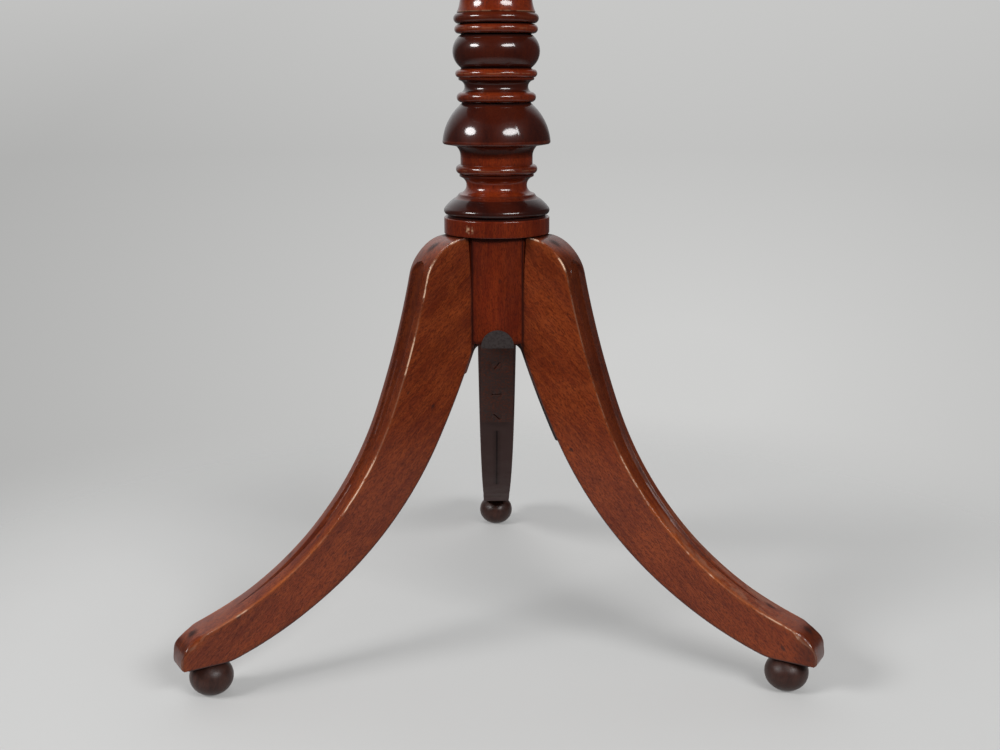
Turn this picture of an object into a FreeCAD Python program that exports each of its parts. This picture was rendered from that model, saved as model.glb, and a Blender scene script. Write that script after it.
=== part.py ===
import FreeCAD, Part
import math
import os

# A tilt-top tripod table, in millimetres, +Z up. The origin is on the floor, on the pillar's axis.
# Two legs point to the front (-Y) left and right, and the third to the back (+Y).

V = FreeCAD.Vector
UP = V(0, 0, 1)

# Whole table
TABLE_HEIGHT = 735.0
TOP_RADIUS = 305.0
TOP_THICKNESS = 22.0
TOP_UNDERSIDE = TABLE_HEIGHT - TOP_THICKNESS
LEG_ANGLES = {"front_left": 210.0, "front_right": 330.0, "back": 90.0}

# Pillar
STEM_RADIUS = 37.5          # the plain round part that the legs are dovetailed into
STEM_BOTTOM = 257.0
COLLAR_RADIUS = 43.15
COLLAR_BOTTOM = 343.8
COLLAR_TOP = 357.2
TENON_RADIUS = 17.0
TENON_SHORT = 0.6           # the tenon and its wedge stop this far below the top of the block
WEDGE_DEPTH = 24.0
WEDGE_THICKNESS = 3.2

# Legs: headings are degrees from straight down, positive outwards
HEEL = (30.18, STEM_BOTTOM)
HEEL_HEADING = 21.8
UNDERSIDE = [(None, 20.3), (685.0, 5.69), (298.2, 45.27), (40.0, 17.24)]
KNEE = (42.25, 343.0)
KNEE_HEADING = 83.4
OUTSIDE = [(37.7, -70.9), (724.7, 8.9), (257.7, 50.9), (24.6, -81.27)]
LEG_THICK_AT_AXIS = 35.0    # side faces taper evenly outwards ...
LEG_TAPER = 0.05            # ... by this much per millimetre ...
LEG_TAPER_END = 176.0       # ... as far as this radius
TOE_RADIUS = 285.4
TOE_CORNER = 3.0
CHANNEL_START = 34.0        # along the outside line from the knee's start
CHANNEL_LENGTH = 318.0
CHANNEL_ARCH = 12.0
CHANNEL_HALF_WIDTH = 10.5
CHANNEL_FADE = 0.75         # power of the taper: below 1, the channel keeps its width for longer
CHANNEL_DEPTH = 2.6
CHANNEL_STATIONS = 16

# Dovetails
DOVETAIL_DEPTH = 16.0
DOVETAIL_NARROW = 7.0
DOVETAIL_WIDE = 10.0
DOVETAIL_TOP = 335.0
GLUE_GAP = 0.05

# Feet
FOOT_CIRCLE = 260.0
FOOT_RADIUS = 17.1
FOOT_SIDE = 14.2            # radius of the arc down the ball's side
FOOT_SHOULDER = 7.5         # where the ball meets the flat under the toe
SPIGOT_RADIUS = 6.0
SPIGOT_LENGTH = 14.0

# Spider plate
STRAP = 2.3
STRAP_WIDTH = 28.5
STRAP_BEND = 10.8
HUB_RADIUS = 30.0
TAB_RADIUS = 13.25
TAB_HEIGHT = 12.2
TAB_GAP = 0.3
BACK_ARM_END = 2.8          # turn of the back arm's last stretch, on the underside's second arc
FRONT_ARM_ENDS = {"front_left": 0.55, "front_right": 5.5}   # front arms: turn on its first arc
STRAP_CORNER = 3.0
STRAP_SCREWS = {"front_left": (43.5,), "front_right": (63.0, 95.0), "back": (63.0, 95.0, 122.0)}

# Pillar block and its pintles
BLOCK_HALF_WIDTH = 75.0
BLOCK_THICKNESS = 32.0
TOP_GAP = 0.3
BLOCK_TOP = TOP_UNDERSIDE - TOP_GAP
BLOCK_BOTTOM = BLOCK_TOP - BLOCK_THICKNESS
PINTLE_Y = -60.0
PINTLE_Z = BLOCK_BOTTOM + BLOCK_THICKNESS / 2
PINTLE_RADIUS = 7.0
PINTLE_CLEARANCE = 0.06
BLOCK_FRONT = PINTLE_Y - BLOCK_THICKNESS / 2
BLOCK_BACK = 74.0
BLOCK_EASE = 2.0

# Battens
BATTEN_GAP = 0.4
BATTEN_WIDTH = 28.0
BATTEN_DEPTH = 30.0
BATTEN_HALF_LENGTH = 235.0
BATTEN_END_DEPTH = 12.0
BATTEN_TAPER = 60.0
BATTEN_SCREW_Y = (-165.0, -95.0, 40.0, 165.0)
BATTEN_SCREW_SINK = 10.0

# Spring catch
CATCH_Z = 704.5
BOLT_HALF_WIDTH = 4.5
BOLT_HALF_HEIGHT = 2.5
BOLT_TIP = BLOCK_BACK + 1.2
BOLT_LENGTH = 26.0
BOLT_TRAVEL = 4.8
SLIDE_GAP = 0.3
CASE_FRONT = 77.0
CASE_BACK = 113.0
CASE_HALF_WIDTH = 9.0
CASE_BOTTOM = 698.0
CASE_WALL = 2.2
CASE_CORNER = 1.5
PLATE_HALF_WIDTH = 17.0
PLATE_FRONT = 76.0
PLATE_BACK = 122.0
PLATE_THICKNESS = 2.0
PLATE_CORNER = 5.0
CATCH_SCREW_X = 13.0
CATCH_SCREW_Y = (83.0, 116.0)
KNOB_Y = 96.5
KNOB_STEM = 2.0
KNOB_RADIUS = 5.0
SPRING_RADIUS = 2.2
SPRING_WIRE = 0.35
SPRING_TURNS = 6.0
STRIKE_HALF_WIDTH = 19.0
STRIKE_HALF_HEIGHT = 7.0
STRIKE_THICKNESS = 2.0
STRIKE_DROP = 1.0           # how far the plate's middle is below the bolt's line
STRIKE_SCREW_X = 13.5
SOCKET_HALF_WIDTH = 5.8
SOCKET_HALF_HEIGHT = 3.9
SOCKET_DEPTH = 9.0
BOLT_BEVEL = 1.6

# Screws: head diameter, shank diameter, length
STRAP_SCREW = (9.0, 4.5, 24.0)
BATTEN_SCREW = (9.0, 5.0, 32.0)
SMALL_SCREW = (5.6, 3.0, 13.0)

# Screw places: the middle of the head, and the direction that the head faces
BATTEN_MIDDLE = BLOCK_HALF_WIDTH + BATTEN_GAP + BATTEN_WIDTH / 2
BATTEN_SCREWS = [
    ((x, y, TOP_UNDERSIDE - BATTEN_DEPTH + BATTEN_SCREW_SINK), (0, 0, -1))
    for x in (-BATTEN_MIDDLE, BATTEN_MIDDLE) for y in BATTEN_SCREW_Y
]
CATCH_SCREWS = [
    ((x, y, TOP_UNDERSIDE - PLATE_THICKNESS), (0, 0, -1))
    for x in (-CATCH_SCREW_X, CATCH_SCREW_X) for y in CATCH_SCREW_Y
]
STRIKE_SCREWS = [((x, BLOCK_BACK, CATCH_Z - STRIKE_DROP), (0, 1, 0)) for x in (-STRIKE_SCREW_X, STRIKE_SCREW_X)]


class Outline:
    """Straight and circular edges end to end in the XZ plane."""

    def __init__(self, x, z):
        self.start = V(x, 0, z)
        self.at = self.start
        self.edges = []

    def line(self, x, z):
        end = V(x, 0, z)
        self.edges.append(Part.LineSegment(self.at, end).toShape())
        self.at = end

    def arc(self, via, to):
        """A circular arc through the point via, ending at the point to."""
        end = V(to[0], 0, to[1])
        self.edges.append(Part.Arc(self.at, V(via[0], 0, via[1]), end).toShape())
        self.at = end

    def bead(self, low, radius, high):
        """A straight step to the point low, then a half-round swelling to radius, ending at high."""
        self.line(*low)
        self.arc((radius, (low[1] + high[1]) / 2), high)

    def face(self):
        if (self.at - self.start).Length > 0:
            self.line(self.start.x, self.start.z)
        return Part.Face(Part.Wire(self.edges))


def turned(outline):
    return outline.face().revolve(V(0, 0, 0), UP, 360)


def box(low, high):
    low = V(*low)
    size = V(*high) - low
    return Part.makeBox(size.x, size.y, size.z, low)


def cylinder(radius, start, end):
    axis = V(*end) - V(*start)
    return Part.makeCylinder(radius, axis.Length, V(*start), axis)


def fuse(shapes):
    return shapes[0].multiFuse(shapes[1:]).removeSplitter()


def placed(shape, point, direction, spin=0.0):
    """A copy whose origin is at the point and whose +Z is along the direction."""
    turn = FreeCAD.Rotation(UP, V(*direction)).multiply(FreeCAD.Rotation(UP, spin))
    copy = shape.copy()
    copy.Placement = FreeCAD.Placement(V(*point), turn)
    return copy


def around(shape, angle):
    """A copy turned about the pillar's axis from +X to the angle."""
    copy = shape.copy()
    copy.rotate(V(0, 0, 0), UP, angle)
    return copy


# ---- paths given by a start, a heading and a list of (radius, turn) or (None, length) ----

def advance(point, heading, radius, amount):
    h = math.radians(heading)
    if radius is None:
        return (point[0] + amount * math.sin(h), point[1] - amount * math.cos(h)), heading
    side = math.copysign(radius, amount)
    centre = (point[0] + side * math.cos(h), point[1] + side * math.sin(h))
    g = math.radians(heading + amount)
    return (centre[0] - side * math.cos(g), centre[1] - side * math.sin(g)), heading + amount


def follow(outline, heading, moves):
    """Add the path to the outline, and return its last heading."""
    for radius, amount in moves:
        point = (outline.at.x, outline.at.z)
        end, last = advance(point, heading, radius, amount)
        if radius is None:
            outline.line(*end)
        else:
            outline.arc(advance(point, heading, radius, amount / 2)[0], end)
        heading = last
    return heading


def along(point, heading, moves, distance):
    """The point and heading at this distance along a path."""
    for radius, amount in moves:
        length = amount if radius is None else radius * abs(math.radians(amount))
        if distance <= length:
            return advance(point, heading, radius, amount * distance / length)
        distance -= length
        point, heading = advance(point, heading, radius, amount)
    return point, heading


def beside(point, heading, moves, gap):
    """The same path moved over by gap, away from the wood."""
    h = math.radians(heading)
    start = (point[0] - gap * math.cos(h), point[1] - gap * math.sin(h))
    moved = [
        (r if r is None else r + math.copysign(gap, amount), amount) for r, amount in moves
    ]
    return start, heading, moved


# ---- pillar ----

def pillar_outline():
    """Half section of the turned pillar, from the bottom up."""
    o = Outline(0, STEM_BOTTOM)
    o.line(STEM_RADIUS, STEM_BOTTOM)
    o.line(STEM_RADIUS, COLLAR_BOTTOM)
    # plain collar with eased edges, then a dark quirk
    o.line(COLLAR_RADIUS - 0.6, COLLAR_BOTTOM)
    o.arc((COLLAR_RADIUS - 0.2, COLLAR_BOTTOM + 0.2), (COLLAR_RADIUS, COLLAR_BOTTOM + 0.7))
    o.line(COLLAR_RADIUS, COLLAR_TOP - 0.9)
    o.arc((COLLAR_RADIUS - 0.25, COLLAR_TOP - 0.25), (COLLAR_RADIUS - 0.9, COLLAR_TOP))
    o.line(39.8, COLLAR_TOP)
    o.line(39.8, 359.7)
    # cushion falling in an ogee from the fillet above it
    o.line(42.1, 359.9)
    o.arc((43.2, 362.2), (42.2, 364.9))
    o.arc((39.2, 368.3), (34.8, 371.9))
    o.arc((32.4, 373.6), (31.2, 375.4))
    o.line(30.5, 375.9)
    # scotia, fillet and ring
    o.arc((24.7, 382.4), (28.9, 389.2))
    o.line(30.3, 389.9)
    o.line(30.3, 391.4)
    o.bead((29.2, 391.9), 33.1, (29.3, 399.4))
    # short neck flaring up under the bell
    o.line(29.3, 405.0)
    o.arc((29.9, 409.6), (33.0, 414.2))
    o.line(42.7, 415.8)
    o.arc((43.5, 416.6), (43.65, 418.6))
    o.arc((39.4, 433.4), (28.4, 447.5))
    o.line(27.8, 448.3)
    o.bead((28.0, 448.6), 31.9, (28.2, 456.6))
    # scotia and fillet
    o.arc((25.6, 460.8), (28.5, 465.4))
    o.line(30.2, 466.0)
    o.line(30.6, 467.5)
    o.bead((30.0, 467.9), 32.9, (29.4, 474.4))
    o.line(28.0, 475.3)
    # ball
    o.line(29.0, 476.2)
    o.arc((34.95, 488.3), (29.4, 500.5))
    o.line(27.9, 501.4)
    # two rings
    o.bead((28.6, 502.1), 33.3, (28.6, 508.9))
    o.line(28.0, 509.4)
    o.bead((28.9, 509.8), 34.0, (30.9, 517.7))
    o.line(31.3, 518.5)
    # trumpet foot of the shaft, and the shaft itself
    o.arc((29.3, 524.2), (28.5, 531.0))
    o.line(22.6, 652.0)
    # necking ring and the flare that carries the block
    o.bead((23.6, 652.6), 27.2, (23.6, 659.4))
    o.line(23.0, 660.0)
    o.arc((25.9, 671.5), (36.0, 677.2))
    o.line(38.0, 677.8)
    o.line(38.0, BLOCK_BOTTOM)
    o.line(TENON_RADIUS, BLOCK_BOTTOM)
    o.line(TENON_RADIUS, BLOCK_TOP - TENON_SHORT)
    o.line(0, BLOCK_TOP - TENON_SHORT)
    return o


def dovetail(gap):
    """The dovetail of a leg that points along +X, or its socket if there is a gap."""
    inner = STEM_RADIUS - DOVETAIL_DEPTH
    corners = [
        V(inner - gap, -DOVETAIL_WIDE - gap, STEM_BOTTOM),
        V(STEM_RADIUS + 1, -DOVETAIL_NARROW - gap, STEM_BOTTOM),
        V(STEM_RADIUS + 1, DOVETAIL_NARROW + gap, STEM_BOTTOM),
        V(inner - gap, DOVETAIL_WIDE + gap, STEM_BOTTOM),
    ]
    face = Part.Face(Part.makePolygon(corners + corners[:1]))
    return face.extrude(V(0, 0, DOVETAIL_TOP + gap - STEM_BOTTOM))


def tenon_wedge():
    """An oak wedge, driven into a saw kerf across the pillar's tenon."""
    top = BLOCK_TOP - TENON_SHORT
    half = WEDGE_THICKNESS / 2
    o = Outline(-half, top)
    o.line(half, top)
    o.line(half / 4, top - WEDGE_DEPTH)
    o.line(-half / 4, top - WEDGE_DEPTH)
    width = 2 * TENON_RADIUS - 2
    wedge = o.face().extrude(V(0, width, 0))
    wedge.translate(V(0, -width / 2, 0))
    return wedge


def pillar():
    sockets = [around(dovetail(GLUE_GAP), angle) for angle in LEG_ANGLES.values()]
    return turned(pillar_outline()).cut(sockets + [tenon_wedge()])


# ---- legs and feet ----

def leg_profile():
    """The leg seen from its side, with its inner end inside the pillar."""
    o = Outline(*HEEL)
    follow(o, HEEL_HEADING, UNDERSIDE)
    outside = Outline(*KNEE)
    follow(outside, KNEE_HEADING, OUTSIDE)
    o.line(outside.at.x, outside.at.z)
    o.edges.extend(outside.edges[::-1])
    o.at = outside.start
    o.line(HEEL[0], KNEE[1] + 0.5)
    return o.face()


def leg_plan():
    """The leg seen from above: side faces that taper, then run parallel to rounded toe corners."""
    root = LEG_THICK_AT_AXIS / 2
    narrow = root - LEG_TAPER * LEG_TAPER_END / 2
    corner = TOE_CORNER * (1 - math.sqrt(0.5))
    bend = TOE_RADIUS - TOE_CORNER
    o = Outline(0, root)
    o.line(LEG_TAPER_END, narrow)
    o.line(bend, narrow)
    o.arc((TOE_RADIUS - corner, narrow - corner), (TOE_RADIUS, narrow - TOE_CORNER))
    o.line(TOE_RADIUS, TOE_CORNER - narrow)
    o.arc((TOE_RADIUS - corner, corner - narrow), (bend, -narrow))
    o.line(LEG_TAPER_END, -narrow)
    o.line(0, -root)
    face = o.face()
    face.rotate(V(0, 0, 0), V(1, 0, 0), -90)
    return face


def channel_half_width(distance):
    """Half width of the carved channel: a round arch, then a taper to a point."""
    taper = (1 - distance / CHANNEL_LENGTH) ** CHANNEL_FADE
    short = max(0.0, 1 - distance / CHANNEL_ARCH)
    return max(0.15, CHANNEL_HALF_WIDTH * taper * math.sqrt(1 - short * short))


def channel():
    """The sunk channel down the outside of a leg, as one lofted cutter."""
    sections = []
    for step in range(CHANNEL_STATIONS + 1):
        distance = CHANNEL_LENGTH * (step / CHANNEL_STATIONS) ** 1.4
        point, heading = along(KNEE, KNEE_HEADING, OUTSIDE, CHANNEL_START + distance)
        half = channel_half_width(distance)
        depth = CHANNEL_DEPTH * min(1.0, 0.25 + half / 4)
        h = math.radians(heading)
        out = V(math.cos(h), 0, math.sin(h))
        at = V(point[0], 0, point[1])
        side = V(0, half, 0)
        floor = V(0, 0.55 * half, 0)
        corners = [at + out - side, at + out + side, at - out * depth + floor, at - out * depth - floor]
        sections.append(Part.makePolygon(corners + corners[:1]))
    return Part.makeLoft(sections, True, True)


def leg():
    """One leg pointing along +X, without its foot's hole."""
    depth = LEG_THICK_AT_AXIS + 10
    slab = leg_profile().extrude(V(0, depth, 0))
    slab.translate(V(0, -depth / 2, 0))
    shape = slab.common(leg_plan().extrude(V(0, 0, COLLAR_BOTTOM)))
    shape = shape.cut(channel())
    stem = cylinder(STEM_RADIUS + GLUE_GAP, (0, 0, STEM_BOTTOM), (0, 0, COLLAR_BOTTOM))
    return fuse([shape.cut(stem), dovetail(0.0)])


def toe_underside():
    """Height of the flat under the toe."""
    o = Outline(*HEEL)
    follow(o, HEEL_HEADING, UNDERSIDE)
    return o.at.z


def spigot(gap):
    low = toe_underside()
    return cylinder(SPIGOT_RADIUS + gap, (FOOT_CIRCLE, 0, low), (FOOT_CIRCLE, 0, low + SPIGOT_LENGTH + gap))


def foot():
    """A turned ball with a flat under it and a small shoulder against the toe, and its spigot."""
    top = toe_underside()
    across = FOOT_RADIUS - FOOT_SIDE
    centre = top - math.sqrt(FOOT_SIDE**2 - (FOOT_SHOULDER - across) ** 2)
    flat = across + math.sqrt(FOOT_SIDE**2 - centre**2)
    o = Outline(0, 0)
    o.line(flat, 0)
    o.arc((FOOT_RADIUS, centre), (FOOT_SHOULDER, top))
    o.line(SPIGOT_RADIUS, top)
    o.line(SPIGOT_RADIUS, top + SPIGOT_LENGTH)
    o.line(0, top + SPIGOT_LENGTH)
    ball = turned(o)
    ball.translate(V(FOOT_CIRCLE, 0, 0))
    return ball


# ---- screws ----

def screw_blank(head, shank, length):
    """A countersunk wood screw with no slot, the middle of its flat head at the origin."""
    rim = 0.4
    o = Outline(0, 0)
    o.line(head / 2, 0)
    o.line(head / 2, -rim)
    o.line(shank / 2, -rim - (head - shank) / 2)
    o.line(shank / 2, -0.75 * length)
    o.line(0.3, -length)
    o.line(0, -length)
    return turned(o)


def screw(head, shank, length):
    slot = box((-head, -head / 16, -head / 9), (head, head / 16, 1))
    return screw_blank(head, shank, length).cut(slot)


def spun(shape, places):
    """A copy of a screw at each place (point, outward direction), each slot at its own angle."""
    return [placed(shape, point, out, 146 - 53 * i) for i, (point, out) in enumerate(places)]


# ---- spider plate ----

def strap_path(place):
    """The side of a strap against the wood: under the pillar, round the bend, down the leg."""
    fold = 90 - HEEL_HEADING
    setback = STRAP_BEND * math.tan(math.radians(fold) / 2)
    under_pillar = HEEL[0] - setback
    moves = [(None, under_pillar), (STRAP_BEND, -fold), (None, UNDERSIDE[0][1] - setback)]
    if place == "back":
        moves += [UNDERSIDE[1], (UNDERSIDE[2][0], BACK_ARM_END)]
    else:
        moves += [(UNDERSIDE[1][0], FRONT_ARM_ENDS[place])]
    return (0, STEM_BOTTOM), 90.0, moves


def strap(place):
    """One arm of the spider plate, pointing along +X, with rounded corners at its end."""
    path = strap_path(place)
    inner = Outline(*path[0])
    follow(inner, *path[1:])
    start, heading, moves = beside(*path, STRAP)
    outer = Outline(*start)
    follow(outer, heading, moves)
    o = Outline(*path[0])
    o.edges = inner.edges
    o.at = inner.at
    o.line(outer.at.x, outer.at.z)
    o.edges.extend(outer.edges[::-1])
    o.at = outer.start
    arm = o.face().extrude(V(0, STRAP_WIDTH, 0))
    arm.translate(V(0, -STRAP_WIDTH / 2, 0))
    tip = max(vertex.Point.x for vertex in arm.Vertexes)
    reach = 1.1 * STRAP
    corners = [e for e in arm.Edges if e.BoundBox.XMin > tip - reach and e.Length < reach]
    return arm.makeFillet(STRAP_CORNER, corners)


def strap_screw_places(place):
    """Where each screw head lies on the open side of a strap: point and outward direction."""
    places = []
    for distance in STRAP_SCREWS[place]:
        (x, z), heading = along(*beside(*strap_path(place), STRAP), distance)
        h = math.radians(heading)
        places.append(((x, 0, z), (-math.cos(h), 0, -math.sin(h))))
    return places


def strap_screws(shape):
    """A copy of a screw at each of the plate's screw places."""
    copies = []
    for place, angle in LEG_ANGLES.items():
        copies += [around(one, angle) for one in spun(shape, strap_screw_places(place))]
    return copies


def spider_plate():
    hub = cylinder(HUB_RADIUS, (0, 0, STEM_BOTTOM - STRAP), (0, 0, STEM_BOTTOM))
    arms = [around(strap(place), angle) for place, angle in LEG_ANGLES.items()]
    face = -STEM_RADIUS - TAB_GAP
    low = STEM_BOTTOM - STRAP
    lug = box((-TAB_RADIUS, face - STRAP, low), (TAB_RADIUS, 0, STEM_BOTTOM))
    middle = STEM_BOTTOM + TAB_HEIGHT - TAB_RADIUS
    tab = cylinder(TAB_RADIUS, (0, face - STRAP, middle), (0, face, middle))
    tab = tab.common(box((-TAB_RADIUS, face - STRAP, low), (TAB_RADIUS, face, COLLAR_BOTTOM)))
    return fuse([hub, lug, tab] + arms).cut(strap_screws(screw_blank(*STRAP_SCREW)))


def pillar_block():
    """The square block on the pillar's tenon, with the pintles that the top turns on."""
    o = Outline(BLOCK_FRONT, BLOCK_BOTTOM)
    o.line(BLOCK_BACK - BLOCK_EASE, BLOCK_BOTTOM)
    o.line(BLOCK_BACK, BLOCK_BOTTOM + BLOCK_EASE)
    o.line(BLOCK_BACK, BLOCK_TOP - BLOCK_EASE)
    o.line(BLOCK_BACK - BLOCK_EASE, BLOCK_TOP)
    o.line(PINTLE_Y, BLOCK_TOP)
    nose = BLOCK_THICKNESS / 2
    slant = nose * math.sqrt(0.5)
    o.arc((PINTLE_Y - slant, PINTLE_Z + slant), (BLOCK_FRONT, PINTLE_Z))
    body = o.face().extrude(V(0, 2 * BLOCK_HALF_WIDTH, 0))
    body.rotate(V(0, 0, 0), UP, 90)
    body.translate(V(BLOCK_HALF_WIDTH, 0, 0))
    reach = BLOCK_HALF_WIDTH + BATTEN_GAP + BATTEN_WIDTH - 0.5
    pintles = cylinder(PINTLE_RADIUS, (-reach, PINTLE_Y, PINTLE_Z), (reach, PINTLE_Y, PINTLE_Z))
    mortise = cylinder(TENON_RADIUS, (0, 0, BLOCK_BOTTOM), (0, 0, BLOCK_TOP))
    socket = box(
        (-SOCKET_HALF_WIDTH, BLOCK_BACK - SOCKET_DEPTH, CATCH_Z - SOCKET_HALF_HEIGHT),
        (SOCKET_HALF_WIDTH, BLOCK_BACK, CATCH_Z + SOCKET_HALF_HEIGHT),
    )
    holes = spun(screw_blank(*SMALL_SCREW), STRIKE_SCREWS)
    return fuse([body, pintles]).cut([mortise, socket, strike_blank()] + holes)


# ---- top and battens ----

def table_top():
    """The round board with a moulded edge."""
    low, high, rim = TOP_UNDERSIDE, TABLE_HEIGHT, TOP_RADIUS
    o = Outline(0, low)
    o.line(rim - 24, low)
    o.arc((rim - 11, low + 2.6), (rim - 3.5, low + 9))
    o.line(rim - 1.5, low + 9)
    o.arc((rim, low + 12.5), (rim - 1.5, low + 16))
    o.line(rim - 3.5, low + 16)
    o.arc((rim - 5.2, high - 1.6), (rim - 9.5, high))
    o.line(0, high)
    holes = spun(screw_blank(*BATTEN_SCREW), BATTEN_SCREWS)
    return turned(o).cut(holes + spun(screw_blank(*SMALL_SCREW), CATCH_SCREWS))


def batten(side):
    """A bearer along Y beside the block, bored for the pintle. Side is -1 or +1."""
    near = side * (BLOCK_HALF_WIDTH + BATTEN_GAP)
    low = TOP_UNDERSIDE - BATTEN_DEPTH
    end = TOP_UNDERSIDE - BATTEN_END_DEPTH
    run = BATTEN_HALF_LENGTH - BATTEN_TAPER
    o = Outline(-BATTEN_HALF_LENGTH, TOP_UNDERSIDE)
    o.line(-BATTEN_HALF_LENGTH, end)
    o.line(-run, low)
    o.line(run, low)
    o.line(BATTEN_HALF_LENGTH, end)
    o.line(BATTEN_HALF_LENGTH, TOP_UNDERSIDE)
    body = o.face().extrude(V(0, BATTEN_WIDTH, 0))
    body.rotate(V(0, 0, 0), UP, 90)
    body.translate(V(near + BATTEN_WIDTH * (side + 1) / 2, 0, 0))
    reach = side * (BLOCK_HALF_WIDTH + 2 * BATTEN_WIDTH)
    bore = cylinder(PINTLE_RADIUS + PINTLE_CLEARANCE, (0, PINTLE_Y, PINTLE_Z), (reach, PINTLE_Y, PINTLE_Z))
    sinks = [
        cylinder(BATTEN_SCREW[0] / 2 + 0.3, point, (point[0], point[1], low - 1))
        for point, _ in BATTEN_SCREWS
    ]
    return body.cut([bore] + sinks + spun(screw_blank(*BATTEN_SCREW), BATTEN_SCREWS))


# ---- catch ----

def rounded_plate(low, high, corner):
    """A plate lying flat, with its four upright edges rounded."""
    plate = box(low, high)
    thickness = high[2] - low[2]
    upright = [e for e in plate.Edges if abs(e.BoundBox.ZLength - thickness) < 1e-6]
    upright = [e for e in upright if e.BoundBox.XLength < 1e-6 and e.BoundBox.YLength < 1e-6]
    return plate.makeFillet(corner, upright)


def slide_box(half_width, half_height, front, back):
    """A bar along Y, centred on the bolt's line."""
    return box((-half_width, front, CATCH_Z - half_height), (half_width, back, CATCH_Z + half_height))


def catch_knob():
    """The thumb knob, with its stem screwed up into the bolt."""
    o = Outline(0, CATCH_Z + 1)
    o.line(KNOB_STEM, CATCH_Z + 1)
    o.line(KNOB_STEM, CASE_BOTTOM - 1.2)
    o.line(KNOB_RADIUS - 1.0, CASE_BOTTOM - 1.6)
    o.arc((KNOB_RADIUS, CASE_BOTTOM - 3.6), (KNOB_RADIUS - 1.0, CASE_BOTTOM - 5.6))
    o.line(2.0, CASE_BOTTOM - 6.4)
    o.line(0, CASE_BOTTOM - 6.4)
    knob = turned(o)
    knob.translate(V(0, KNOB_Y, 0))
    return knob


def catch_bolt():
    """The bolt, drawn back, with a nose bevelled on top so that it rides over the strike."""
    bolt = slide_box(BOLT_HALF_WIDTH, BOLT_HALF_HEIGHT, BOLT_TIP, BOLT_TIP + BOLT_LENGTH)
    nose = [
        e for e in bolt.Edges
        if e.BoundBox.YMax < BOLT_TIP + 1e-6 and e.BoundBox.XLength > 1 and e.BoundBox.ZMin < CATCH_Z
    ]
    return bolt.makeChamfer(BOLT_BEVEL, nose).cut(catch_knob())


def catch_case():
    """The brass case under the top: a plate and a housing that the bolt slides in."""
    low = TOP_UNDERSIDE - PLATE_THICKNESS
    plate = rounded_plate(
        (-PLATE_HALF_WIDTH, PLATE_FRONT, low), (PLATE_HALF_WIDTH, PLATE_BACK, TOP_UNDERSIDE), PLATE_CORNER
    )
    housing = rounded_plate(
        (-CASE_HALF_WIDTH, CASE_FRONT, CASE_BOTTOM), (CASE_HALF_WIDTH, CASE_BACK, low), CASE_CORNER
    )
    back = CASE_BACK - CASE_WALL
    way = slide_box(BOLT_HALF_WIDTH + SLIDE_GAP, BOLT_HALF_HEIGHT + SLIDE_GAP, CASE_FRONT - 1, back)
    half_slot = KNOB_STEM + SLIDE_GAP
    slot = box(
        (-half_slot, KNOB_Y - BOLT_TRAVEL - half_slot, CASE_BOTTOM - 1),
        (half_slot, KNOB_Y + half_slot, CATCH_Z),
    )
    return fuse([plate, housing]).cut([way, slot] + spun(screw_blank(*SMALL_SCREW), CATCH_SCREWS))


def catch_spring():
    """The coil spring between the bolt's tail and the end of the case."""
    front = BOLT_TIP + BOLT_LENGTH + SPRING_WIRE + 0.05
    back = CASE_BACK - CASE_WALL - SPRING_WIRE - 0.05
    helix = Part.makeHelix((back - front) / SPRING_TURNS, back - front, SPRING_RADIUS)
    start = V(SPRING_RADIUS, 0, 0)
    section = Part.Wire(Part.makeCircle(SPRING_WIRE, start, V(0, 1, 0)))
    coil = Part.Wire(helix).makePipeShell([section], True, True)
    coil.rotate(V(0, 0, 0), V(1, 0, 0), -90)
    coil.translate(V(0, front, CATCH_Z))
    return coil


def strike_blank():
    """The strike plate before its hole is cut, let in flush with the block's back."""
    z = CATCH_Z - STRIKE_DROP
    return box(
        (-STRIKE_HALF_WIDTH, BLOCK_BACK - STRIKE_THICKNESS, z - STRIKE_HALF_HEIGHT),
        (STRIKE_HALF_WIDTH, BLOCK_BACK, z + STRIKE_HALF_HEIGHT),
    )


def strike_plate():
    hole = slide_box(SOCKET_HALF_WIDTH, SOCKET_HALF_HEIGHT, BLOCK_BACK - SOCKET_DEPTH, BLOCK_BACK + 1)
    return strike_blank().cut([hole] + spun(screw_blank(*SMALL_SCREW), STRIKE_SCREWS))


# ---- the whole table ----

def group(shapes):
    return Part.makeCompound(shapes)


def build():
    """Every node's shape, by name."""
    nodes = {"pillar": pillar(), "pillar_block": pillar_block(), "tenon_wedge": tenon_wedge()}
    plain_leg = leg()
    one_foot = foot()
    for name, angle in LEG_ANGLES.items():
        holes = [spigot(GLUE_GAP)] + spun(screw_blank(*STRAP_SCREW), strap_screw_places(name))
        nodes["leg_" + name] = around(plain_leg.cut(holes), angle)
        nodes["foot_" + name] = around(one_foot, angle)
    nodes["spider_plate"] = spider_plate()
    nodes["spider_screws"] = group(strap_screws(screw(*STRAP_SCREW)))
    nodes["table_top"] = table_top()
    nodes["batten_left"] = batten(-1)
    nodes["batten_right"] = batten(1)
    nodes["batten_screws"] = group(spun(screw(*BATTEN_SCREW), BATTEN_SCREWS))
    nodes["catch_case"] = catch_case()
    nodes["catch_bolt"] = catch_bolt()
    nodes["catch_knob"] = catch_knob()
    nodes["catch_spring"] = catch_spring()
    nodes["catch_screws"] = group(spun(screw(*SMALL_SCREW), CATCH_SCREWS))
    nodes["strike_plate"] = strike_plate()
    nodes["strike_screws"] = group(spun(screw(*SMALL_SCREW), STRIKE_SCREWS))
    return nodes


os.makedirs("parts", exist_ok=True)
for node, shape in build().items():
    shape.exportStep("parts/" + node + ".step")
    print(node, "valid" if shape.isValid() else "NOT VALID", len(shape.Solids), round(shape.Volume))
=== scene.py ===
import math

import bmesh
import bpy
import numpy as np
from mathutils import Matrix, Vector, noise


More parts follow.
